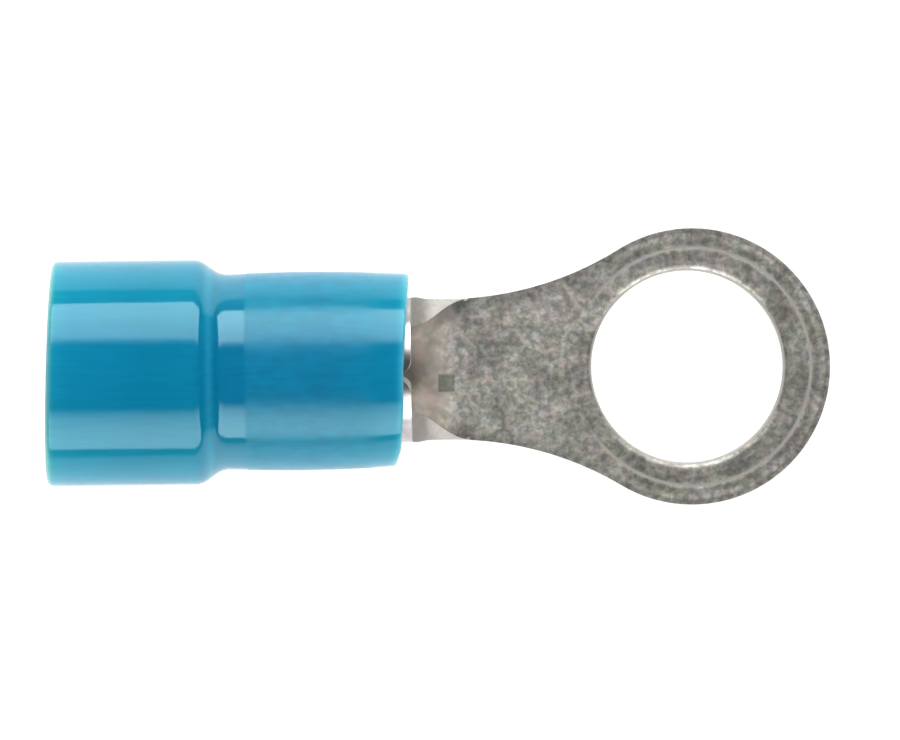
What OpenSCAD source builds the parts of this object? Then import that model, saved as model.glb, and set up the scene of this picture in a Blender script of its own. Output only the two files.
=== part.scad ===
// Insulated ring terminal: a stamped and rolled metal terminal with a stepped sleeve pressed over its barrel.
// The origin is the centre of the stud hole on the tongue's underside. +Z is up through the stud hole,
// +X points to the ring's tip, and the barrel and the sleeve lie toward -X. Sizes are in millimetres.

/* [Sheet] */
// Thickness of the stamped sheet
sheet_t = 0.8; // [0.7:0.05:0.9]

/* [Ring and tongue] */
// Diameter of the stud hole
stud_hole_d = 5.3; // [4.3:0.1:5.5]
// Diameter across the ring
ring_d = 7.62; // [7.2:0.02:8.4]
// How far the ring's outline is centred beyond the stud hole, toward the tip
ring_shift = 0.12; // [0:0.02:0.2]
// Radius of the drawn-in edge that the punch leaves round the top of the stud hole
hole_edge_r = 0.14; // [0.06:0.02:0.2]
// Diameter of the circle coined into the top of the ring
coin_d = 6.62; // [6.5:0.02:6.7]
// Width of the coined circle
coin_w = 0.2; // [0.1:0.02:0.26]
// Depth of the coined circle
coin_depth = 0.05; // [0.02:0.01:0.1]
// Width of the neck between the ring and the barrel
neck_w = 3.88; // [3.4:0.02:4.2]
// Radius of the two hollow curves that widen the neck into the ring
flare_r = 9; // [7:0.1:9.4]

/* [Wire barrel] */
// Distance from the stud hole's centre to the barrel's front rim
barrel_x = 7.6; // [7.4:0.1:9]
// Length of the barrel
barrel_len = 4.46; // [4:0.02:6]
// Diameter of the bore that takes the bare wire
wire_bore_d = 2.35; // [2.2:0.05:2.7]
// Length over which the rolled sheet flattens into the tongue
bend_len = 1.8; // [1.2:0.05:2.2]
// Radius of the blank's corner between the barrel's rim and the neck
flank_r = 0.5; // [0.3:0.05:0.7]
// Radius of the corners where the two rolled wings meet at the rim
wing_r = 0.42; // [0.2:0.02:0.6]
// Width of the hairline gap along the butted seam
seam_gap = 0.04; // [0.02:0.01:0.1]
// Turn of the seam from the top of the barrel, toward -Y
seam_turn = 6; // [-10:1:10]
// Size of the bevel at the rear mouth of the wire bore
bore_bevel = 0.18; // [0.05:0.01:0.25]
// Number of ring-shaped grip grooves in the bore
grip_count = 3; // [1:1:4]
// Distance from one grip groove to the next
grip_pitch = 0.9; // [0.7:0.05:1]
// Width of a grip groove
grip_w = 0.3; // [0.2:0.05:0.4]
// Depth of a grip groove
grip_depth = 0.16; // [0.05:0.01:0.2]

/* [Sleeve] */
// How far the barrel's rim stands out of the sleeve
barrel_out = 0.22; // [0.1:0.02:0.6]
// Clearance round the barrel in the sleeve; at 0 they touch, as a pressed fit does
press_gap = 0; // [0:0.01:0.03]
// Outer diameter of the sleeve at its front end
front_d = 5.26; // [5.1:0.02:5.6]
// Outer diameter of the sleeve at the foot of the shoulder
waist_d = 5.34; // [5.1:0.02:5.6]
// How much the sleeve swells between the foot of the shoulder and the front end
swell = 0.13; // [0:0.01:0.2]
// Outer diameter of the wide end
mouth_d = 6.15; // [5.9:0.05:6.6]
// Diameter of the bore that takes the wire's insulation
insulation_bore_d = 4.7; // [4.2:0.05:5]
// Distance from the barrel's rear end to the foot of the shoulder
shoulder_gap = 0.58; // [0.4:0.02:0.8]
// Length of the shoulder
shoulder_len = 0.88; // [0.6:0.02:1.2]
// Length of the wide end behind the shoulder
mouth_len = 3.98; // [3.4:0.02:6]
// Length of the plain throat in front of the funnel
throat_len = 0.25; // [0.15:0.05:0.4]
// Length of the funnel that leads the strands into the barrel
funnel_len = 1.1; // [0.9:0.05:1.3]
// Radius of the rounded outer edge of the mouth
mouth_edge_r = 0.16; // [0.08:0.02:0.24]
// Radius of the rounded inner edge of the mouth
mouth_lead_r = 0.22; // [0.1:0.02:0.3]
// Radius of the rounded edges of the front end
front_edge_r = 0.07; // [0.04:0.01:0.12]
// Slant of the cut at the mouth, in degrees
mouth_slant = 2; // [0:0.5:4]
// Slant of the cut at the front end, in degrees
front_slant = 4; // [0:0.5:5]

/* [Hidden] */
$fn = 96;
tin = [0.66, 0.64, 0.61];
nylon = [0.08, 0.53, 0.71];
cut = 0.5;       // how far a cutting shape runs past the surface that it cuts
clear = 0.1;     // the same, at the straight run-out of a rounded edge
leave = 15;      // degrees before its end at which a rounded edge runs out straight
arc_steps = 5;   // straight steps in a small rounded edge

wire_r = wire_bore_d / 2;
barrel_r = wire_r + sheet_t;
bend_r = wire_r + sheet_t / 2;
axis_z = barrel_r;
rim_x = -barrel_x;
rear_x = rim_x - barrel_len;
flat_x = rim_x + bend_len;

ring_r = ring_d / 2;
neck_half = neck_w / 2;
flare_y = neck_half + flare_r;
flare_reach = sqrt(pow(ring_r + flare_r, 2) - pow(flare_y, 2));
flare_x = ring_shift - flare_reach;
join_x = ring_shift - ring_r * flare_reach / (ring_r + flare_r);
flare_steps = 18;

bend_steps = 14;     // sections along the bent neck
bend_strips = 18;    // strips across it
lap = 0.03;          // how far the bent neck is rooted in its neighbours
hair = 0.001;        // how far its end faces lie within theirs

seat_r = barrel_r + press_gap;
throat_r = wire_r + bore_bevel;
front_x = rim_x - barrel_out;
foot_x = rear_x - shoulder_gap;
brow_x = foot_x - shoulder_len;
mouth_x = brow_x - mouth_len;
curve_steps = 12;

// Points of a quarter round of radius r about c, from angle a0 to a1
function arc(c, r, a0, a1, steps = arc_steps) =
    [for (i = [0:steps]) c + r * [cos(a0 + (a1 - a0) * i / steps), sin(a0 + (a1 - a0) * i / steps)]];

// Half the width of the flat tongue at x: straight along the neck, then the hollow flare
function tongue_half(x) = x < flare_x ? neck_half : flare_y - sqrt(pow(flare_r, 2) - pow(x - flare_x, 2));

// How much of the barrel's bend is left at a distance d in front of the rim, from 1 down to 0
function bend_left(d) = let (s = d / bend_len) pow(1 - s, 3) * (1 + 3 * s);

// Bend radius of the middle of the sheet at a distance d in front of the rim
function bend_radius(d) = bend_r / bend_left(d);

// How far the corner of the blank runs up the wall at a distance d in front of the rim
function corner_rise(d) = d < flank_r ? flank_r - sqrt(pow(flank_r, 2) - pow(flank_r - d, 2)) : 0;

// Angle from the bottom of the trough to its cut edge: seen from above, the edge keeps the tongue's width
function edge_angle(d) = let (r = bend_radius(d))
    asin(min(1, tongue_half(rim_x + d) / (r + sheet_t / 2))) + corner_rise(d) / r * 180 / PI;

// How far a section lies within its neighbour's faces. Behind the rim and past the bend the bent sheet has
// a tenon that roots it in the barrel and the tongue; where it meets them it stays a hair inside their edges.
function inset(d) = d < 0 || d > bend_len ? lap : d == 0 || d == bend_len ? hair : 0;

// A point of the bent sheet: share runs across it from -1 to 1, side is -1 outside and +1 inside
function bent_point(d, share, side) =
    let (to_side = side * (sheet_t / 2 - inset(d)), on = max(d, 0))
    d >= bend_len
        ? [rim_x + d, share * (tongue_half(rim_x + d) - inset(d)), sheet_t / 2 + to_side]
        : let (r = bend_radius(on), a = share * edge_angle(on))
            [rim_x + d, (r - to_side) * sin(a), sheet_t / 2 + r - (r - to_side) * cos(a)];

// Distances of the sections in front of the rim; the first ones lie close, where the edge turns fastest
sections = concat(
    [-lap],
    [for (i = [0:bend_steps - 1]) bend_len * (1 - cos(90 * i / bend_steps))],
    [bend_len, bend_len + lap]);

// The sheet between the barrel's rim and the flat tongue: one C-shaped section after another,
// rolled less at each one and following the edge of the blank
module bent_neck() {
    loop = 2 * (bend_strips + 1);
    last = (len(sections) - 1) * loop;
    points = [
        for (d = sections) each concat(
            [for (j = [0:bend_strips]) bent_point(d, 2 * j / bend_strips - 1, -1)],
            [for (j = [bend_strips:-1:0]) bent_point(d, 2 * j / bend_strips - 1, 1)])
    ];
    walls = [
        for (start = [0:loop:last - loop], k = [0:loop - 1])
            let (a = start + k, b = start + (k + 1) % loop)
            each [[a, a + loop, b], [b, a + loop, b + loop]]
    ];
    rear = [
        for (j = [0:bend_strips - 1])
            each [[j, j + 1, loop - 1 - j], [j + 1, loop - 2 - j, loop - 1 - j]]
    ];
    front = [for (face = rear) [last + face[0], last + face[2], last + face[1]]];
    polyhedron(points, concat(walls, rear, front));
}

// Where the straight run-out of a rounded edge of radius r ends: x is out from the wall, y is along it
function run_out(r) = [clear, -r * (1 - sin(leave)) - (clear + r * (1 - cos(leave))) / tan(leave)];

// Sets a shape made about +Z along +X on the barrel's axis, with its zero at x
module on_axis(x) translate([x, 0, axis_z]) rotate([0, 90, 0]) children();

module tongue() {
    start_x = flat_x - hair;
    xs = [for (i = [0:flare_steps]) start_x + (join_x - start_x) * i / flare_steps];
    linear_extrude(sheet_t)
        polygon(concat(
            [for (x = xs) [x, tongue_half(x)]],
            [[ring_shift, 0]],
            [for (i = [flare_steps:-1:0]) [xs[i], -tongue_half(xs[i])]]));
    translate([ring_shift, 0, 0]) cylinder(h = sheet_t, r = ring_r);
}

// The stud hole with its drawn-in top edge
module stud_hole() {
    r = stud_hole_d / 2;
    out = run_out(hole_edge_r);
    translate([0, 0, -cut]) cylinder(h = sheet_t + 2 * cut, r = r);
    rotate_extrude()
        polygon(concat(
            [[r - out.x, sheet_t + out.y]],
            arc([r + hole_edge_r, sheet_t - hole_edge_r], hole_edge_r, 180 - leave, 90 + leave),
            [[r - out.y, sheet_t + out.x], [r - out.x, sheet_t + out.x]]));
}

module coined_circle()
    translate([ring_shift, 0, sheet_t])
        rotate_extrude()
            polygon([[coin_d / 2 - coin_w, coin_depth], [coin_d / 2, -coin_depth],
                     [coin_d / 2 + coin_w, coin_depth]]);

// The wire bore with its rear bevel and the grip grooves
module wire_bore() {
    on_axis(rear_x - cut) cylinder(h = barrel_len + 2 * cut, r = wire_r);
    on_axis(rear_x - bore_bevel) cylinder(h = 2 * bore_bevel, r1 = wire_r + 2 * bore_bevel, r2 = wire_r);
    first = rear_x + (barrel_len - (grip_count - 1) * grip_pitch - grip_w) / 2;
    for (i = [0:grip_count - 1])
        on_axis(first + i * grip_pitch) cylinder(h = grip_w, r = wire_r + grip_depth);
}

// The seam: a hairline gap through the wall, opening at the rim between the two rounded corners.
// Its sides point at the barrel's axis, as the edges of a rolled sheet do.
module seam() {
    depth = barrel_r + cut;
    spread = depth / barrel_r;
    side = arc([-wing_r, wing_r], wing_r, -90, 0, 8);
    translate([0, 0, axis_z]) rotate([seam_turn, 0, 0]) {
        translate([rear_x - cut, -seam_gap / 2, 0]) cube([barrel_len + cut, seam_gap, depth]);
        translate([rim_x, 0, depth]) mirror([0, 0, 1])
            linear_extrude(depth, scale = [1, 0.01], slices = 1)
                polygon(concat(
                    [for (p = side) [p.x, spread * (p.y + seam_gap / 2)]],
                    [[cut, spread * (wing_r + seam_gap / 2)], [cut, -spread * (wing_r + seam_gap / 2)]],
                    [for (i = [len(side) - 1:-1:0]) [side[i].x, -spread * (side[i].y + seam_gap / 2)]]));
    }
}

module barrel() {
    difference() {
        on_axis(rear_x) cylinder(h = barrel_len, r = barrel_r);
        wire_bore();
        seam();
    }
}

module terminal() color(tin) {
    difference() {
        tongue();
        stud_hole();
        coined_circle();
    }
    bent_neck();
    barrel();
}

// Outer radius of the sleeve's narrow part at x, with its slight swell
function narrow_r(x) = let (s = (x - foot_x) / (front_x - foot_x))
    (waist_d + (front_d - waist_d) * s) / 2 + 2 * swell * s * (1 - s);

// Outer radius of the shoulder at x, a smooth S between the narrow and the wide part
function shoulder_r(x) = let (s = (x - brow_x) / shoulder_len)
    mouth_d / 2 + (waist_d - mouth_d) / 2 * (1 - cos(180 * s)) / 2;

// What lies beyond a rounded end of a tube: the tube ends at 0 and runs toward -Z.
// out_r and in_r are the tube's radii.
module beyond_end(out_r, out_edge, in_r, in_edge) {
    out = run_out(out_edge);
    in = run_out(in_edge);
    rotate_extrude()
        polygon(concat(
            [[0, in.y], [in_r - in.x, in.y]],
            arc([in_r + in_edge, -in_edge], in_edge, 180 - leave, 90),
            arc([out_r - out_edge, -out_edge], out_edge, 90, leave),
            [[out_r + out.x, out.y], [out_r + out.x, 2 * cut], [0, 2 * cut]]));
}

module sleeve() color(nylon)
    difference() {
        on_axis(0) rotate_extrude()
            polygon(concat(
                [[0, mouth_x - cut], [mouth_d / 2, mouth_x - cut]],
                [for (i = [0:curve_steps]) let (x = brow_x + shoulder_len * i / curve_steps) [shoulder_r(x), x]],
                [for (i = [1:curve_steps]) let (x = foot_x + (front_x - foot_x) * i / curve_steps) [narrow_r(x), x]],
                [[front_d / 2, front_x + cut], [0, front_x + cut]]));
        on_axis(0) rotate_extrude()
            polygon([[0, mouth_x - 2 * cut], [insulation_bore_d / 2, mouth_x - 2 * cut],
                     [insulation_bore_d / 2, rear_x - throat_len - funnel_len], [throat_r, rear_x - throat_len],
                     [throat_r, rear_x], [seat_r, rear_x], [seat_r, front_x + 2 * cut], [0, front_x + 2 * cut]]);
        translate([mouth_x, 0, 0]) rotate([0, 0, -mouth_slant]) translate([-mouth_x, 0, 0])
            on_axis(mouth_x) mirror([0, 0, 1])
                beyond_end(mouth_d / 2, mouth_edge_r, insulation_bore_d / 2, mouth_lead_r);
        translate([front_x, 0, 0]) rotate([0, 0, -front_slant]) translate([-front_x, 0, 0])
            on_axis(front_x) beyond_end(front_d / 2, front_edge_r, seat_r, front_edge_r);
    }

terminal();
sleeve();
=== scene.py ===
from math import asin, atan2, cos, degrees, hypot, pi, radians, sin, sqrt, tan

import bmesh
import bpy
from mathutils import Matrix, Vector


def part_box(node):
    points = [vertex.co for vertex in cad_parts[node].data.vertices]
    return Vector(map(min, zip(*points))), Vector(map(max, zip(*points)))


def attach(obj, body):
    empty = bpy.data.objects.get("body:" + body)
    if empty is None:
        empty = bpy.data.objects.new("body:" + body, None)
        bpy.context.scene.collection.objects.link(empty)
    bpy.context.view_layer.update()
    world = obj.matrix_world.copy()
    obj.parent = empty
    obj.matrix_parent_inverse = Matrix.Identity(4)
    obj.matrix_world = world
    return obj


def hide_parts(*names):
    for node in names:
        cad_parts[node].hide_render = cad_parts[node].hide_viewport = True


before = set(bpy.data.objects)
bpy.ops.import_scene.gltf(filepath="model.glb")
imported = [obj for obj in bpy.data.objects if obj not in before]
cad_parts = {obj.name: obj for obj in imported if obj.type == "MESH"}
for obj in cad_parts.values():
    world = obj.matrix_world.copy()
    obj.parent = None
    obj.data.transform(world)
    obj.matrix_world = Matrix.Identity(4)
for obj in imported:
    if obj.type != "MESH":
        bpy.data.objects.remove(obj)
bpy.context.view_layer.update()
mm = 0.001
upward = Vector((0, 0, 1))
alongX = Vector((1, 0, 0))
acrossY = Vector((0, 1, 0))

# what the frame gives, in millimetres
terminalLow, terminalHigh = [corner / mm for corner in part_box("terminal")]
sleeveLow, sleeveHigh = [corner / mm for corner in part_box("sleeve")]
barrelRadius = terminalHigh.z / 2      # the barrel's bottom is level with the tongue's underside
ringRadius = (terminalHigh.y - terminalLow.y) / 2
ringX = terminalHigh.x - ringRadius
rearX = terminalLow.x
mouthRadius = (sleeveHigh.y - sleeveLow.y) / 2


# meshes: every piece is shaped in millimetres and brought to metres when it is finished

def lineTo(bm, vert, x, y):
    made = bmesh.ops.extrude_vert_indiv(bm, verts=[vert])["verts"][0]
    made.co = (x, y, 0)
    return made


def arcFrom(bm, vert, centre, turn, steps):
    made = bmesh.ops.spin(bm, geom=[vert], cent=(*centre, 0), axis=upward, dvec=(0, 0, 0),
                          angle=radians(turn), steps=steps, use_merge=False, use_duplicate=False)
    return [g for g in made["geom_last"] if isinstance(g, bmesh.types.BMVert)][0]


def turnFully(bm, geom, axis, steps):
    bmesh.ops.spin(bm, geom=geom, cent=(0, 0, 0), axis=axis, dvec=(0, 0, 0), angle=2 * pi, steps=steps,
                   use_merge=True, use_duplicate=False)


def rounded(bm, geom, offset, segments, affect="EDGES"):
    return bmesh.ops.bevel(bm, geom=geom, offset=offset, offset_type="OFFSET", segments=segments, profile=0.5,
                           affect=affect, material=-1, clamp_overlap=True)["faces"]


def cutAt(bm, axis, place, wanted):
    # a row of edges where the plane crosses the wanted faces
    faces = [f for f in bm.faces if wanted(f)]
    edges = list({e for f in faces for e in f.edges})
    verts = list({v for f in faces for v in f.verts})
    bmesh.ops.bisect_plane(bm, geom=faces + edges + verts, dist=1e-5, plane_co=axis * place, plane_no=axis)


def newObject(bm, name, materials):
    bmesh.ops.scale(bm, vec=(mm, mm, mm), verts=bm.verts)
    mesh = bpy.data.meshes.new(name)
    bm.to_mesh(mesh)
    bm.free()
    for material in materials:
        mesh.materials.append(material)
    made = bpy.data.objects.new(name, mesh)
    bpy.context.scene.collection.objects.link(made)
    return made


def finishPiece(bm, name, materials, node):
    piece = newObject(bm, name, materials)
    piece.data.shade_smooth()
    even = piece.modifiers.new("even faces", "WEIGHTED_NORMAL")
    even.mode = "FACE_AREA"
    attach(piece, "root")
    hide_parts(node)
    print("made", name, "with", len(piece.data.polygons), "faces")
    return piece


# materials

def colour(hexCode):
    # an sRGB hex value as linear red, green, blue and alpha
    parts = [int(hexCode[i:i + 2], 16) / 255 for i in (1, 3, 5)]
    return (*[p / 12.92 if p <= 0.04045 else ((p + 0.055) / 1.055) ** 2.4 for p in parts], 1)


def addNode(tree, kind, values=None, **settings):
    made = tree.nodes.new(kind)
    for name, value in settings.items():
        setattr(made, name, value)
    for name, value in (values or {}).items():
        if isinstance(value, bpy.types.NodeSocket):
            tree.links.new(value, made.inputs[name])
        else:
            made.inputs[name].default_value = value
    return made


def newMaterial(name):
    material = bpy.data.materials.new(name)
    material.use_nodes = True
    material.node_tree.nodes.clear()
    return material, material.node_tree


def placeInMm(tree):
    return scaled(tree, addNode(tree, "ShaderNodeTexCoord").outputs["Object"], 1 / mm)


def parted(tree, place):
    return addNode(tree, "ShaderNodeSeparateXYZ", {"Vector": place}).outputs


def joined(tree, x, y):
    return addNode(tree, "ShaderNodeCombineXYZ", {"X": x, "Y": y}).outputs[0]


def maths(tree, operation, *values):
    return addNode(tree, "ShaderNodeMath", dict(enumerate(values)), operation=operation).outputs[0]


def multiplied(tree, shares):
    total = shares[0]
    for share in shares[1:]:
        total = maths(tree, "MULTIPLY", total, share)
    return total


def scaled(tree, vector, scale):
    return addNode(tree, "ShaderNodeVectorMath", {0: vector, "Scale": scale}, operation="SCALE").outputs[0]


def tinted(tree, tone, tint):
    # two vectors multiplied, number by number
    return addNode(tree, "ShaderNodeVectorMath", {0: tone, 1: tint}, operation="MULTIPLY").outputs[0]


def distance(tree, place, centre):
    return addNode(tree, "ShaderNodeVectorMath", {0: place, 1: centre}, operation="DISTANCE").outputs["Value"]


def blend(tree, share, first, last):
    # the first number where the share is 0, and the last where it is 1
    return addNode(tree, "ShaderNodeMix", {0: share, 2: first, 3: last}).outputs[0]


def blendColours(tree, share, first, last):
    return addNode(tree, "ShaderNodeMix", {0: share, 6: first, 7: last}, data_type="RGBA").outputs[2]


def changed(tree, share, change):
    # a shade of 1 that changes by this much where the share is 1
    return maths(tree, "MULTIPLY_ADD", share, change, 1)


def between(tree, value, start, end, first=0, last=1):
    # a smooth change from one number to another while the value goes from start to end
    return addNode(tree, "ShaderNodeMapRange", {
        "Value": value, "From Min": start, "From Max": end, "To Min": first, "To Max": last},
        interpolation_type="SMOOTHSTEP").outputs[0]


def within(tree, value, low, high, soft):
    # 1 from low to high, and 0 outside, with soft borders on the inner side
    return multiplied(tree, [between(tree, value, low, low + soft), between(tree, value, high, high - soft)])


def steps(tree, value, stops):
    # a ramp through (place, number or colour) stops
    low, high = stops[0][0], stops[-1][0]
    fac = addNode(tree, "ShaderNodeMapRange", {"Value": value, "From Min": low, "From Max": high}).outputs[0]
    ramp = addNode(tree, "ShaderNodeValToRGB", {"Fac": fac})
    elements = ramp.color_ramp.elements
    for i, (place, tone) in enumerate(stops):
        share = (place - low) / (high - low)
        stop = elements[0] if i == 0 else elements[-1] if i == len(stops) - 1 else elements.new(share)
        stop.position = share
        stop.color = tone if isinstance(tone, tuple) else (tone, tone, tone, 1)
    return ramp.outputs["Color"]


def clouds(tree, place, size, detail, roughness=0.5, distortion=0):
    # noise with forms of this size, as a number ("Fac") and as a colour ("Color")
    return addNode(tree, "ShaderNodeTexNoise", {"Vector": place, "Scale": 1 / size, "Detail": detail,
                                                "Roughness": roughness, "Distortion": distortion}).outputs


def swing(tree, cloud, most):
    # clouds as a shade that swings about 1, by most at either end
    return between(tree, cloud, 0.3, 0.7, 1 - most, 1 + most)


def attribute(tree, name):
    return addNode(tree, "ShaderNodeAttribute", attribute_name=name).outputs["Fac"]


tin = {
    "stippled": "#C7C4BC",    # matte tin on the flat of the sheet
    "smooth": "#C8C1B8",      # where rolling has smoothed the plating inside the bend
    "rolled": "#CCC8C9",      # outside of the barrel
    "sheared": "#CCC9C4",     # cut edges
    "mark": "#92958A",        # a small square stain where the neck leaves the bend
    "rough": 0.55,
    "roughSmooth": 0.8,
    "roughRolled": 0.28,
    "roughSheared": 0.75,
    "grain": 0.2,             # size of the specks, mm
    "grainSwing": 0.32,       # and how far their shade swings
    "fineGrain": 0.09,
    "fineSwing": 0.08,
    "patch": 0.9,             # slow patches
    "patchSwing": 0.24,
    "tintGrain": 0.4,         # greenish and reddish tints
    "tintSwing": (0.07, 0.05, 0.07),
    "streak": 0.15,           # streaks on the cut edges
    "streakSwing": 0.06,
    "relief": 0.012,          # height of the specks, mm
    "stippleStart": (-6.9, -6.2),     # the specks set in between these two places along the neck
    "undersideStart": (-5.9, -5.2),
    # brightness round the ring, by the distance from its middle: darker near the hole, the coined circle
    # between two darker lines, bands, and painted shade along the rim's rounded edge
    "ringTones": (
        (2.6, 0.74), (3.06, 0.76), (3.15, 0.7), (3.21, 0.8), (3.26, 0.95), (3.32, 0.95), (3.41, 0.68),
        (3.46, 0.72), (3.56, 0.96), (3.64, 0.98), (3.7, 0.68), (3.78, 0.8), (3.82, 1.0)),
    "ringStart": (-2.6, -1.2),
    "coined": 1.2,            # brightness of the bottom of the coined circle
    "holeHighlight": 0.55,           # how much brighter the painted highlight on the +Y side of the hole's edge is
    "neckEdge": 0.8,          # brightness along the neck's two edges
    "band": 0.85,             # and of a dark band across the neck, with its place
    "bandX": -5.22,
    # painted shade in the trough, by the distance from near the middle of the rim
    "troughShadeTones": ((0.1, 0.66), (0.3, 0.8), (0.5, 0.9), (0.8, 0.96), (1.1, 1.08), (1.5, 1.1), (2.2, 1.0)),
    "troughY": -0.2,
    "bendRunoutShade": -0.35,           # how much darker two patches of painted shade are
    "crease": -0.6,           # and the painted shade line where the trough meets the cut edge
    "markX": (-6.9, -6.38),
    "markY": (-0.66, -0.1),
}


def platedTin(tree, place, smoothColour, roughSmooth, start):
    # electro-tinned copper sheet, matte: dull and bright specks in a soft grey sheen
    grain = clouds(tree, place, tin["grain"], 4, 0.55, 0.25)["Fac"]
    fine = clouds(tree, place, tin["fineGrain"], 2)["Fac"]
    patches = clouds(tree, place, tin["patch"], 3, 0.6)["Fac"]
    tints = clouds(tree, place, tin["tintGrain"], 3, 0.6)["Color"]
    # the specks set in along an uneven line across the sheet
    uneven = maths(tree, "MULTIPLY_ADD", patches, 1.4, -0.7)
    stipple = between(tree, maths(tree, "ADD", parted(tree, place)["X"], uneven), *start)
    specks = multiplied(tree, [swing(tree, grain, tin["grainSwing"]), swing(tree, fine, tin["fineSwing"])])
    shade = multiplied(tree, [blend(tree, stipple, 1, specks), swing(tree, patches, tin["patchSwing"])])
    finish = blendColours(tree, stipple, colour(smoothColour), colour(tin["stippled"]))
    tint = addNode(tree, "ShaderNodeMapRange", {
        "Vector": tints, 7: (0.3, 0.3, 0.3), 8: (0.7, 0.7, 0.7), 9: [1 - most for most in tin["tintSwing"]],
        10: [1 + most for most in tin["tintSwing"]]}, data_type="FLOAT_VECTOR").outputs["Vector"]
    rough = blend(tree, stipple, roughSmooth, tin["rough"])
    relief = maths(tree, "MULTIPLY", grain, stipple)
    return tinted(tree, finish, tint), shade, rough, relief


def tinShader(tree, finish, shade, rough, relief):
    bump = addNode(tree, "ShaderNodeBump", {"Height": relief, "Distance": tin["relief"] * mm, "Strength": 1})
    shader = addNode(tree, "ShaderNodeBsdfPrincipled", {
        "Base Color": scaled(tree, finish, shade), "Metallic": 1, "Roughness": rough,
        "Normal": bump.outputs[0]})
    addNode(tree, "ShaderNodeOutputMaterial", {"Surface": shader.outputs[0]})


def ringShade(tree, fromRing, x):
    onRing = between(tree, x, *tin["ringStart"], 0.35, 1)
    return blend(tree, onRing, 1, steps(tree, fromRing, tin["ringTones"]))


def coinedCircle(tree, fromRing, x):
    # the smooth bottom of the coined circle, which fades out before the neck
    off = maths(tree, "ABSOLUTE", maths(tree, "SUBTRACT", fromRing, stamping["coinRadius"]))
    return multiplied(tree, [between(tree, off, 0.065, 0.02), between(tree, x, -2.9, -2.2)])


def paintedHoleHighlight(tree, flat, y):
    # painted highlight: the +Y side of the hole's edge is made brighter, where its rounding catches the soft
    # box on the -Y side
    fromHole = distance(tree, flat, (0, 0, 0))
    edge = stamping["studHole"] + stamping["holeEdge"]
    holeHighlight = multiplied(tree, [between(tree, fromHole, edge + 0.19, edge - 0.07), between(tree, y, 0.6, 2)])
    return changed(tree, holeHighlight, tin["holeHighlight"])


def neckShades(tree, x, sideways):
    # the sheet is dull near the neck's two edges, which are arcs round the flare's two centres
    fromFlare = distance(tree, joined(tree, x, sideways), (flareX, flareY, 0))
    edge = stamping["flareRadius"]
    atEdge = between(tree, fromFlare, edge + 0.05, edge + 0.4, tin["neckEdge"], 1)
    edges = blend(tree, between(tree, x, joinX + 0.2, joinX - 0.2), 1, atEdge)
    # a darker band lies across the neck and ends short of its edges
    away = maths(tree, "ABSOLUTE", maths(tree, "SUBTRACT", x, tin["bandX"]))
    band = blend(tree, between(tree, sideways, 1.1, 1.6), between(tree, away, 0.1, 0.35, tin["band"], 1), 1)
    return [edges, band]


def paintedTroughShade(tree, flat, x, sideways):
    # painted shade: the trough is darker toward the middle of the rim, where the barrel's wings shade it
    trough = steps(tree, distance(tree, flat, (rimX, tin["troughY"], 0)), tin["troughShadeTones"])
    # painted shade: two darker patches lie where the bend runs out into the neck's edges
    bendRunoutShade = multiplied(tree, [between(tree, sideways, 1.35, 1.6), between(tree, x, -6.5, -6.3),
                              between(tree, x, -5.75, -6.0)])
    # and painted shade: a dark line runs in the crease where the trough meets the sheet's cut edge
    crease = multiplied(tree, [attribute(tree, "crease"), between(tree, x, -6.3, -6.8)])
    return [trough, changed(tree, bendRunoutShade, tin["bendRunoutShade"]), changed(tree, crease, tin["crease"])]


def topOfTongue():
    material, tree = newMaterial("matteTinTop")
    place = placeInMm(tree)
    finish, shade, rough, relief = platedTin(
        tree, place, tin["smooth"], tin["roughSmooth"], tin["stippleStart"])
    x, y = parted(tree, place)[:2]
    flat = joined(tree, x, y)
    sideways = maths(tree, "ABSOLUTE", y)
    fromRing = distance(tree, flat, (ringX, 0, 0))
    mark = multiplied(tree, [within(tree, x, *tin["markX"], 0.07), within(tree, y, *tin["markY"], 0.08)])
    finish = blendColours(tree, mark, finish, colour(tin["mark"]))
    shade = multiplied(tree, [shade, ringShade(tree, fromRing, x), paintedHoleHighlight(tree, flat, y),
                              *neckShades(tree, x, sideways), *paintedTroughShade(tree, flat, x, sideways)])
    shade = blend(tree, coinedCircle(tree, fromRing, x), shade, tin["coined"])
    tinShader(tree, finish, shade, rough, relief)
    return material


def outsideOfSheet():
    # the other face of the same sheet, which the rolling die has polished round the barrel
    material, tree = newMaterial("rolledTinOutside")
    place = placeInMm(tree)
    tinShader(tree, *platedTin(tree, place, tin["rolled"], tin["roughRolled"], tin["undersideStart"]))
    return material


def shearedTin():
    # the cut edge of the sheet: the punch has wiped it smooth, with fine streaks through its thickness
    material, tree = newMaterial("shearedTinEdge")
    streaks = swing(tree, clouds(tree, placeInMm(tree), tin["streak"], 3)["Fac"], tin["streakSwing"])
    tinShader(tree, colour(tin["sheared"])[:3], streaks, tin["roughSheared"], 0.5)
    return material


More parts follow.
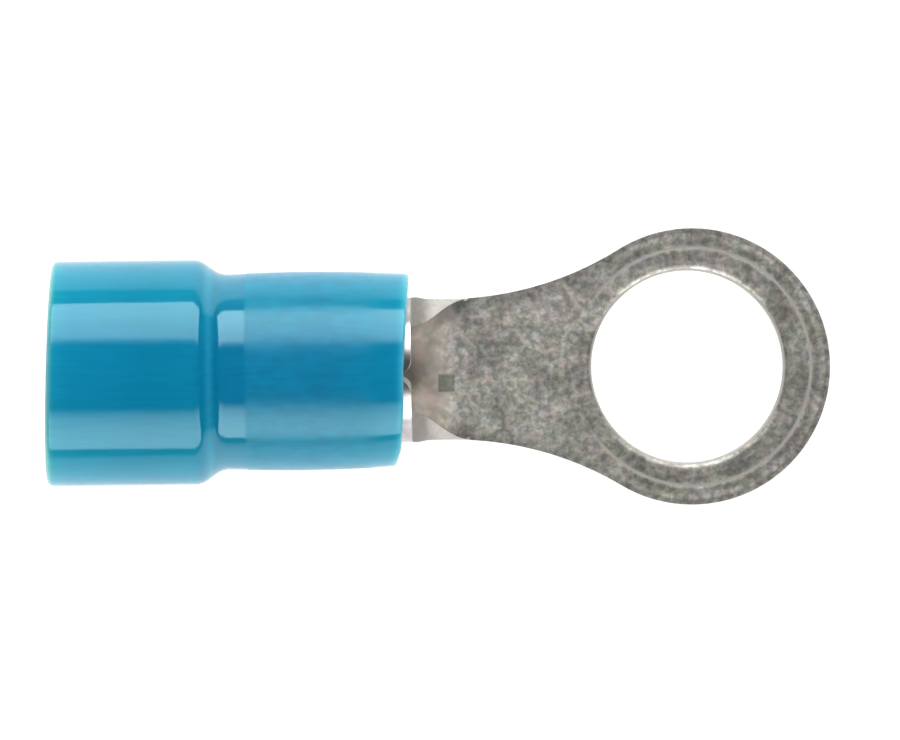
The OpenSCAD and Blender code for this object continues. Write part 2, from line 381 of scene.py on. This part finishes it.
nylon = {
    # colour by the distance along the part, mm: pale at the mouth and the front end, painted light where
    # light comes in through the thin edges, a painted light band on the shoulder, dark over the thick funnel,
    # and greyer where the barrel lies behind the wall
    "tones": (
        (-17.5, "#3FA9C6"), (-17.47, "#8CD2DA"), (-17.42, "#5CBCCA"), (-17.36, "#2FA3BE"),
        (-17.28, "#139ABF"), (-16.9, "#0E91BB"), (-14.7, "#0889B2"), (-13.6, "#0A8CB4"),
        (-13.25, "#0A84AE"), (-13.09, "#259BC4"), (-12.93, "#0A82AD"), (-12.14, "#0A82AD"),
        (-12.08, "#1188B2"), (-10, "#1286B1"), (-8.6, "#0C8AB2"), (-8.1, "#0C8CB6"),
        (-7.99, "#1296BE"), (-7.9, "#3AA8CC"), (-7.82, "#5FBBCE")),
    # roughness and strength of the gloss along the same line: the barrel has stretched the wall round it
    "roughness": ((-17.5, 0.08), (-12.14, 0.08), (-12.08, 0.27), (-8.9, 0.25), (-8.4, 0.1), (-7.8, 0.1)),
    "gloss": ((-12.98, 0.62), (-12.9, 0.82), (-12.16, 0.82), (-12.08, 0.57), (-8.6, 0.57), (-8.2, 0.62)),
    "glossTint": (0.62, 0.97, 1.0),   # the gloss picks up the colour of the skin
    "flank": (1.0, 1.13, 0.99),       # painted light: the two sides are made greener, standing in for light that has come through the walls
    "flankAngles": (10, 48),          # and sets in between these angles from the top, degrees
    "streak": 0.12,           # size of the fine streaks that the melt left along the sleeve, mm
    "streakSwing": 0.04,
    "mottle": 0.25,           # patches on the wall over the barrel
    "mottleSwing": 0.08,
    "wave": 1.2,              # slight waves in the skin
    "waveHeight": 0.006,
}


def wallShade(tree, place, along):
    # both noises are drawn out along the sleeve
    drawn = clouds(tree, tinted(tree, place, (0.08, 1, 1)), nylon["streak"], 2)["Fac"]
    mottle = clouds(tree, tinted(tree, place, (0.5, 1, 1)), nylon["mottle"], 3)["Fac"]
    overBarrel = multiplied(tree, [between(tree, along, -12.12, -12.08), between(tree, along, -8.2, -9)])
    mottled = blend(tree, overBarrel, 1, swing(tree, mottle, nylon["mottleSwing"]))
    return multiplied(tree, [swing(tree, drawn, nylon["streakSwing"]), mottled])


def paintedSideLight(tree, place):
    # painted light: the sleeve turns greener with its angle from the top
    y, z = parted(tree, place)[1:]
    fromTop = maths(tree, "ARCTAN2", maths(tree, "ABSOLUTE", y), maths(tree, "SUBTRACT", z, barrelRadius))
    start, end = nylon["flankAngles"]
    share = between(tree, fromTop, radians(start), radians(end))
    return addNode(tree, "ShaderNodeMix", {0: share, 4: (1, 1, 1), 5: nylon["flank"]},
                   data_type="VECTOR").outputs[1]


def bluePolyamide():
    # moulded nylon, translucent blue: a glossy skin over a milky body
    material, tree = newMaterial("translucentBluePolyamide")
    place = placeInMm(tree)
    along = attribute(tree, "along")
    tone = steps(tree, along, [(x, colour(hexCode)) for x, hexCode in nylon["tones"]])
    body = scaled(tree, tinted(tree, tone, paintedSideLight(tree, place)), wallShade(tree, place, along))
    waves = clouds(tree, place, nylon["wave"], 1)["Fac"]
    bump = addNode(tree, "ShaderNodeBump", {"Height": waves, "Distance": nylon["waveHeight"] * mm})
    shader = addNode(tree, "ShaderNodeBsdfPrincipled", {
        "Base Color": body, "Roughness": steps(tree, along, nylon["roughness"]), "IOR": 1.53,
        "Specular IOR Level": steps(tree, along, nylon["gloss"]), "Specular Tint": (*nylon["glossTint"], 1),
        "Subsurface Weight": 0.3, "Subsurface Radius": (0.2, 0.8, 1.0), "Subsurface Scale": 0.15 * mm,
        "Normal": bump.outputs[0]})
    addNode(tree, "ShaderNodeOutputMaterial", {"Surface": shader.outputs[0]})
    return material


# the terminal: a flat blank is cut out, thickened, its edges rounded, and its wings rolled up

stamping = {
    "sheet": 0.8,             # thickness of the sheet, mm
    "studHole": 2.65,         # radius of the stud hole
    "barrelLength": 4.46,
    "bendLength": 1.8,        # over this length the rolled sheet flattens into the tongue
    "neckHalf": 1.94,         # half the neck's width
    "flareRadius": 9,         # hollow curve from the neck into the ring
    "flankRadius": 0.5,       # blank's corner between the rim and the neck
    "wingRadius": 0.42,       # corners of the two wings at the rim
    "rearRadius": 0.12,       # their corners at the rear
    "seamGap": 0.04,
    "seamTurn": 6,            # degrees from the top, toward -Y
    "coinRadius": 3.28,       # circle coined into the ring
    "coinWidth": 0.2,
    "coinDepth": 0.01,
    "bandRadius": 3.6,        # where the turned part of the ring's mesh ends
    "holeEdge": 0.18,         # drawn-in top edge of the hole
    "boreMouth": 0.18,        # bevel at the rear mouth of the wire bore
    "crease": 0.1,            # edge where the trough meets the cut edge of the sheet
    "edge": 0.05,             # rounding of the other sheared edges
    "rollover": 0.09,         # and of those that the die has drawn in round the tongue's top
    "wingRollover": 0.15,     # and round the wings' outside
    "grips": (-10.88, -9.98, -9.08),   # where the grip grooves in the bore start
    "gripWidth": 0.3,
    "gripDepth": 0.16,
    "gripFlank": 0.02,        # length of a groove's steep sides
}
topSlot, cutSlot, outsideSlot = range(3)      # the terminal's materials: tongue's top, cut edges, other face
rimX = rearX + stamping["barrelLength"]
flatX = rimX + stamping["bendLength"]
bendRadius = barrelRadius - stamping["sheet"] / 2
flareY = stamping["neckHalf"] + stamping["flareRadius"]
flareX = ringX - sqrt((ringRadius + stamping["flareRadius"]) ** 2 - flareY ** 2)
# and the flare meets the ring here
joinX = ringX - (ringX - flareX) * ringRadius / (ringRadius + stamping["flareRadius"])


def tongueHalf(x):
    if x < flareX:
        return stamping["neckHalf"]
    return flareY - sqrt(stamping["flareRadius"] ** 2 - (x - flareX) ** 2)


def bendLeft(d):
    # how much of the barrel's bend is left at a distance d in front of the rim
    if d <= 0:
        return 1
    s = min(d / stamping["bendLength"], 1)
    return (1 - s) ** 3 * (1 + 3 * s)


def blankHalf(d):
    # half the blank's width there: once rolled, its edge keeps the tongue's width as seen from above
    corner = stamping["flankRadius"]
    rise = corner - sqrt(corner ** 2 - (corner - d) ** 2) if d < corner else 0
    half = tongueHalf(rimX + d)
    if bendLeft(d) < 1e-4:
        return half
    radius = bendRadius / bendLeft(d)
    return radius * asin(min(1, half / (radius + stamping["sheet"] / 2))) + rise


def eased(length, count):
    # distances along a length, close together at its start
    return [length * (1 - cos(pi / 2 * i / count)) for i in range(count + 1)]


def halfOutline(bm, side):
    # one half of the blank, from its centre line out; side is +1 toward +Y
    wingEnd = bendRadius * (pi + side * radians(stamping["seamTurn"])) - stamping["seamGap"] / 2
    wing, rear = stamping["wingRadius"], stamping["rearRadius"]
    first = bm.verts.new((rearX, 0, 0))
    pen = lineTo(bm, first, rearX, side * (wingEnd - rear))
    pen = arcFrom(bm, pen, (rearX + rear, side * (wingEnd - rear)), -side * 90, 4)
    pen = lineTo(bm, pen, rimX - wing, side * wingEnd)
    pen = arcFrom(bm, pen, (rimX - wing, side * (wingEnd - wing)), -side * 90, 10)
    pen = lineTo(bm, pen, rimX, side * blankHalf(0))
    for d in eased(stamping["bendLength"], 28)[1:]:
        pen = lineTo(bm, pen, rimX + d, side * blankHalf(d))
    startTurn = degrees(atan2(flatX - flareX, flareY - tongueHalf(flatX)))
    endTurn = degrees(atan2(ringX - flareX, flareY))
    pen = arcFrom(bm, pen, (flareX, side * flareY), side * (endTurn - startTurn), 24)
    joinAngle = 180 - degrees(atan2(flareY, ringX - flareX))
    pen = arcFrom(bm, pen, (ringX, 0), -side * joinAngle, 80)
    pen = lineTo(bm, pen, ringX + stamping["bandRadius"], 0)
    pen = arcFrom(bm, pen, (ringX, 0), side * 180, 90)
    bm.edges.new((pen, first))
    bmesh.ops.contextual_create(bm, geom=[e for e in bm.edges if e.is_wire])


def ringBand(bm):
    # the ring from the stud hole to the band's edge, turned from one row of points
    coin, width = stamping["coinRadius"], stamping["coinWidth"]
    radii = [stamping["studHole"], stamping["studHole"] + stamping["holeEdge"] + 0.06]
    radii += [coin + share * width for share in (-0.6, -0.4, -0.2, 0, 0.2, 0.4, 0.6)]
    radii.append(stamping["bandRadius"])
    row = [bm.verts.new((radius, 0, 0)) for radius in radii]
    edges = [bm.edges.new(pair) for pair in zip(row, row[1:])]
    turnFully(bm, row + edges, upward, 180)
    # the coined circle and the outline share a centre a little beyond the hole's
    outer = [v for v in bm.verts if hypot(v.co.x, v.co.y) > coin - width]
    bmesh.ops.translate(bm, vec=(ringX, 0, 0), verts=outer)


def cutBlank(bm):
    ringBand(bm)
    for side in (1, -1):
        halfOutline(bm, side)
    bmesh.ops.remove_doubles(bm, verts=bm.verts, dist=1e-3)
    bmesh.ops.recalc_face_normals(bm, faces=bm.faces)
    print("blank:", len(bm.verts), "points,", len([e for e in bm.edges if e.is_boundary]), "outline edges")

    raised = bmesh.ops.extrude_face_region(bm, geom=bm.faces[:])["geom"]
    raisedVerts = [g for g in raised if isinstance(g, bmesh.types.BMVert)]
    bmesh.ops.translate(bm, vec=(0, 0, stamping["sheet"]), verts=raisedVerts)
    bmesh.ops.recalc_face_normals(bm, faces=bm.faces)
    for face in bm.faces:
        up = face.normal.z
        face.material_index = topSlot if up > 0.5 else outsideSlot if up < -0.5 else cutSlot


def coinCircle(bm):
    reach = stamping["coinWidth"] * 0.6
    for vert in bm.verts:
        off = abs(hypot(vert.co.x - ringX, vert.co.y) - stamping["coinRadius"]) / reach
        if off < 1 and vert.co.z > stamping["sheet"] / 2:
            vert.co.z -= stamping["coinDepth"] * (cos(pi * off) + 1) / 2


def edgeKind(edge):
    middle = (edge.verts[0].co + edge.verts[1].co) / 2
    onTop = middle.z > stamping["sheet"] / 2
    if onTop and hypot(middle.x, middle.y) < stamping["studHole"] + 0.05:
        return "holeEdge"
    if onTop and middle.x < rearX + 0.01:
        return "boreMouth"
    if not onTop and rearX + 0.5 < middle.x < rimX + 0.01:
        return "wingRollover"
    if onTop and middle.x > flatX:
        return "rollover"
    if onTop and rimX < middle.x < flatX - 0.35:
        return "crease"
    return "edge"


def roundCorners(bm):
    groups = {"holeEdge": [], "boreMouth": [], "wingRollover": [], "rollover": [], "crease": [], "edge": []}
    for edge in bm.edges:
        if len(edge.link_faces) == 2 and edge.calc_face_angle() > radians(60):
            groups[edgeKind(edge)].append(edge)
    # the crease's rounding is marked for a painted shade line
    creaseShadeMark = bm.faces.layers.float.new("crease")
    for name, edges in groups.items():
        for face in rounded(bm, [e for e in edges if e.is_valid], stamping[name], 4):
            if name == "wingRollover":
                face.material_index = cutSlot
            if name == "crease":
                face.material_index = topSlot
                face[creaseShadeMark] = 1
    print("edges rounded:", len(bm.faces), "faces")


def isRolled(face):
    return face.calc_center_median().x < flatX


def addRows(bm):
    # rows of points where the sheet will bend and along the grip grooves
    cutAt(bm, alongX, flatX, lambda face: True)
    width, flank = stamping["gripWidth"], stamping["gripFlank"]
    rows = [grip + d for grip in stamping["grips"] for d in (0, flank, width - flank, width)]
    rows += [rearX + stamping["barrelLength"] * share for share in (0.1, 0.2, 0.8, 0.9, 0.96)]
    rows += [rimX + d for d in eased(stamping["bendLength"], 30)[:-1]]
    for x in rows:
        cutAt(bm, alongX, x, isRolled)
    for i in range(-47, 49):
        cutAt(bm, acrossY, bendRadius * radians(3.75) * i, isRolled)


def sinkGrips(bm):
    half = (stamping["gripWidth"] - stamping["gripFlank"]) / 2
    middles = [grip + stamping["gripWidth"] / 2 for grip in stamping["grips"]]
    for vert in bm.verts:
        inGrip = any(abs(vert.co.x - middle) < half for middle in middles)
        if inGrip and vert.co.z > stamping["sheet"] - 1e-4:
            vert.co.z -= stamping["gripDepth"]


def roll(point):
    # bends a point of the flat blank: y runs across it and z through it
    curl = bendLeft(point.x - rimX) / bendRadius
    if curl < 1e-6:
        return point
    middle = stamping["sheet"] / 2
    angle = point.y * curl
    radius = 1 / curl - (point.z - middle)
    return Vector((point.x, radius * sin(angle), middle + 1 / curl - radius * cos(angle)))


def makeTerminal():
    bm = bmesh.new()
    cutBlank(bm)
    coinCircle(bm)
    roundCorners(bm)
    addRows(bm)
    sinkGrips(bm)
    for vert in bm.verts:
        vert.co = roll(vert.co)
    bmesh.ops.recalc_face_normals(bm, faces=bm.faces)
    materials = [topOfTongue(), shearedTin(), outsideOfSheet()]
    return finishPiece(bm, "stamped_terminal", materials, "terminal")


# the sleeve: one profile, its corners rounded, turned about the barrel's axis

moulding = {
    "fit": 0.02,              # room left round the barrel, mm
    "throat": 1.355,          # radius of the hole behind the barrel
    "throatLength": 0.25,
    "funnelLength": 1.1,
    "bore": 2.35,             # radius of the bore for the insulation
    "frontX": -7.82,
    "frontRadius": 2.63,
    "waistRadius": 2.67,
    "swell": 0.065,           # how much the narrow part swells at its middle
    "footX": -12.64,          # the shoulder's two ends
    "browX": -13.52,
    "footRound": 0.18,
    "browRound": 0.16,
    "mouthX": -17.5,
    "mouthEdge": 0.16,
    "mouthLead": 0.22,
    "frontEdge": 0.07,
    "mouthSlant": 2,          # degrees
    "shiftLength": 1.8,       # over this length the ends' slant fades out
    # the front end is not cut square: how far it lies forward at each height across the part
    "frontCut": ((-2.63, -0.24), (-2.45, -0.17), (-2.2, -0.09), (-1.8, -0.045), (-1, 0.005), (0, 0.01),
                 (2.63, 0.18)),
}


def through(points, place):
    # straight from point to point
    for (x0, y0), (x1, y1) in zip(points, points[1:]):
        if place <= x1:
            return y0 + (y1 - y0) * (place - x0) / (x1 - x0)
    return points[-1][1]


def sleeveProfile(bm):
    size = moulding
    middle = (size["browX"] + size["footX"]) / 2
    lean = (size["footX"] - size["browX"]) / pi   # where the shoulder's slope meets the straight parts
    seat = barrelRadius + size["fit"]
    throatX = rearX - size["throatLength"]
    # each corner's place along the part, its radius from the axis, and its rounding
    corners = [
        (size["mouthX"], size["bore"], size["mouthLead"]), (size["mouthX"], mouthRadius, size["mouthEdge"]),
        (middle - lean, mouthRadius, size["browRound"]),
        (middle + lean, size["waistRadius"], size["footRound"]),
        (size["frontX"], size["frontRadius"], size["frontEdge"]), (size["frontX"], seat, size["frontEdge"]),
        (rearX, seat, 0), (rearX, size["throat"], 0), (throatX, size["throat"], 0),
        (throatX - size["funnelLength"], size["bore"], 0),
    ]
    verts = [bm.verts.new((x, 0, radius)) for x, radius, rounding in corners]
    edges = [bm.edges.new(pair) for pair in zip(verts, verts[1:] + verts[:1])]
    narrowPart = edges[3]
    bmesh.ops.subdivide_edges(bm, edges=[narrowPart], cuts=16)
    for vert in bm.verts:
        if size["footX"] < vert.co.x < size["frontX"] and vert.co.z > barrelRadius + 0.3:
            share = (vert.co.x - size["footX"]) / (size["frontX"] - size["footX"])
            vert.co.z += 4 * size["swell"] * share * (1 - share)
    for x, radius, rounding in corners:
        if rounding:
            corner = [v for v in bm.verts if (v.co - Vector((x, 0, radius))).length < 1e-3]
            rounded(bm, corner, rounding, 6, "VERTICES")
    bmesh.ops.subdivide_edges(bm, edges=[e for e in bm.edges if e.calc_length() > 1.2], cuts=4)


def makeSleeve():
    bm = bmesh.new()
    sleeveProfile(bm)
    turnFully(bm, bm.verts[:] + bm.edges[:], alongX, 144)
    bmesh.ops.remove_doubles(bm, verts=bm.verts, dist=1e-4)
    # the tones follow the length as it is before the two ends are cut a little out of square
    along = bm.verts.layers.float.new("along")
    length = moulding["shiftLength"]
    for vert in bm.verts:
        vert[along] = vert.co.x
        nearMouth = 1 - min(1, (vert.co.x - moulding["mouthX"]) / length)
        nearFront = 1 - min(1, (moulding["frontX"] - vert.co.x) / length)
        vert.co.x += nearMouth ** 2 * vert.co.y * tan(radians(moulding["mouthSlant"]))
        vert.co.x += nearFront ** 2 * through(moulding["frontCut"], vert.co.y)
    bmesh.ops.translate(bm, vec=(0, 0, barrelRadius), verts=bm.verts)
    bmesh.ops.recalc_face_normals(bm, faces=bm.faces)
    return finishPiece(bm, "sleeve_moulding", [bluePolyamide()], "sleeve")


# the stage

studio = {
    "distance": 250,          # camera to the tongue, mm
    "view": 24.79,            # width that the picture takes in at the tongue, mm
    "aimX": -6.54,
    "aimY": -0.02,
    "turn": -0.68,            # degrees
    "sensor": 36,
    "glow": 5.4,              # radiance of the two long soft boxes of the light tent, where 1 is white
    "boxEnds": 35,            # how far they reach to +X and -X, degrees
    "dark": 0.012,            # share of the glow beyond their ends
    # share of the glow, by degrees up from the +Y side, over the top and down to the -Y side
    "section": ((0, 0.04), (12, 0.03), (13.2, 1), (28, 1.03), (38, 0.9), (52, 0.78), (58, 0.15), (62, 0.012),
                (127, 0.012), (131, 0.24), (137, 0.52), (148, 0.7), (159, 0.79), (173.8, 0.73), (175.2, 0.03),
                (180, 0.04)),
}

paper = {
    "half": 80,               # half the sheet's side, mm
    "fadeStart": 14,          # its glow fades from this far from the stud hole to its edge
    "far": 0.3,               # share of the glow that is left there
    # share of the light that it throws back, and its own glow: as it is seen, and as it lights the part
    "seen": (0.3, 0.9),
    "lighting": (0.8, 0.6),
}


def makeCamera():
    data = bpy.data.cameras.new("camera")
    data.sensor_width = studio["sensor"]
    data.lens = studio["sensor"] * studio["distance"] / studio["view"]
    data.clip_start = 1 * mm
    data.clip_end = 5000 * mm
    camera = bpy.data.objects.new("camera", data)
    height = studio["distance"] + stamping["sheet"]
    camera.location = Vector((studio["aimX"], studio["aimY"], height)) * mm
    camera.rotation_euler = (0, 0, radians(studio["turn"]))
    bpy.context.scene.collection.objects.link(camera)
    bpy.context.scene.camera = camera


def makeWorld():
    # a light tent: a long soft box on either side, dark overhead, where the camera stands
    world = bpy.data.worlds.new("tent")
    world.use_nodes = True
    tree = world.node_tree
    tree.nodes.clear()
    x, y, z = parted(tree, addNode(tree, "ShaderNodeTexCoord").outputs["Generated"])
    over = maths(tree, "ARCTAN2", z, y)
    section = steps(tree, over, [(radians(angle), share) for angle, share in studio["section"]])
    toEnds = maths(tree, "ARCSINE", maths(tree, "ABSOLUTE", x))
    reach = radians(studio["boxEnds"])
    beside = between(tree, toEnds, reach + 0.03, reach - 0.03, studio["dark"])
    glow = multiplied(tree, [section, beside, studio["glow"]])
    rays = addNode(tree, "ShaderNodeLightPath").outputs
    strength = blend(tree, rays["Is Camera Ray"], glow, 1)
    back = addNode(tree, "ShaderNodeBackground", {"Strength": strength}).outputs[0]
    addNode(tree, "ShaderNodeOutputWorld", {"Surface": back})
    bpy.context.scene.world = world


def litPaper(tree, fade, tone, glow):
    diffuse = addNode(tree, "ShaderNodeBsdfDiffuse", {"Color": (tone, tone, tone, 1)}).outputs[0]
    light = addNode(tree, "ShaderNodeEmission", {"Strength": multiplied(tree, [fade, glow])}).outputs[0]
    return addNode(tree, "ShaderNodeAddShader", {0: diffuse, 1: light}).outputs[0]


def whitePaper():
    # white paper lit from below round the part: it stays as white in the gloss as it is by itself
    material, tree = newMaterial("whitePaper")
    rays = addNode(tree, "ShaderNodeLightPath").outputs
    seen = maths(tree, "MAXIMUM", rays["Is Camera Ray"], rays["Is Glossy Ray"])
    seen = maths(tree, "MAXIMUM", seen, rays["Is Transmission Ray"])
    away = distance(tree, placeInMm(tree), (0, 0, 0))
    faded = between(tree, away, paper["fadeStart"], paper["half"], 1, paper["far"])
    fade = maths(tree, "MAXIMUM", faded, rays["Is Camera Ray"])
    mixed = addNode(tree, "ShaderNodeMixShader", {
        0: seen, 1: litPaper(tree, fade, *paper["lighting"]), 2: litPaper(tree, fade, *paper["seen"])})
    addNode(tree, "ShaderNodeOutputMaterial", {"Surface": mixed.outputs[0]})
    return material


def makeFloor():
    # the part comes to rest on the ring's tip and the sleeve's shoulder, so the floor leans that little
    bm = bmesh.new()
    bmesh.ops.create_grid(bm, x_segments=1, y_segments=1, size=paper["half"])
    tip = Vector((terminalHigh.x, 0, 0))
    brow = Vector((moulding["browX"], 0, sleeveLow.z))
    lean = atan2(tip.z - brow.z, tip.x - brow.x)
    bmesh.ops.rotate(bm, cent=(0, 0, 0), matrix=Matrix.Rotation(-lean, 3, "Y"), verts=bm.verts)
    bmesh.ops.translate(bm, vec=tip, verts=bm.verts)
    newObject(bm, "floor", [whitePaper()])


makeCamera()
makeTerminal()
makeSleeve()
makeWorld()
makeFloor()
bpy.context.scene.view_settings.view_transform = "Standard"
print("stage set")
